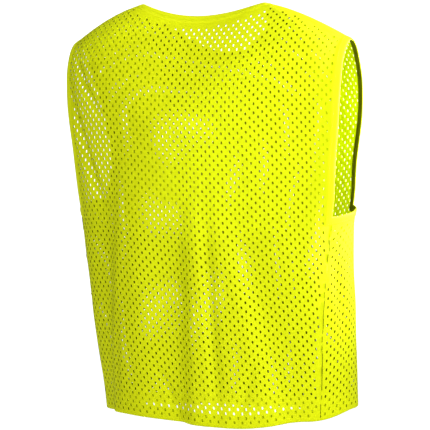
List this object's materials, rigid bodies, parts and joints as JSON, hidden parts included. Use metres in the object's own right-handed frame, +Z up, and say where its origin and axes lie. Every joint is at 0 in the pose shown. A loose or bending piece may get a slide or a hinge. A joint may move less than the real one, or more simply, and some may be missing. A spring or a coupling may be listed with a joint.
{
  "type": "training vest",
  "caption": "Sleeveless mesh training vest in the hollow shape in which it is worn, with a bound scoop neck, bound armholes and a turned-up hem.",
  "frame": {"origin": "midway between the two neck points, where the shoulder seams meet the neckline and a wearer's shoulders carry the vest", "axes": "+Z up, the front faces -Y, +X is the wearer's left"},
  "size_m": [0.428, 0.228, 0.5904],
  "materials": {
    "mesh_cloth": "warp-knitted polyester mesh, neon yellow",
    "binding_cloth": "plain knitted polyester binding, neon yellow"
  },
  "bodies": {
    "root": {"back_panel": "mesh_cloth", "front_panel": "mesh_cloth", "neck_binding": "binding_cloth", "armhole_binding_left": "binding_cloth", "armhole_binding_right": "binding_cloth"}
  },
  "joints": []
}
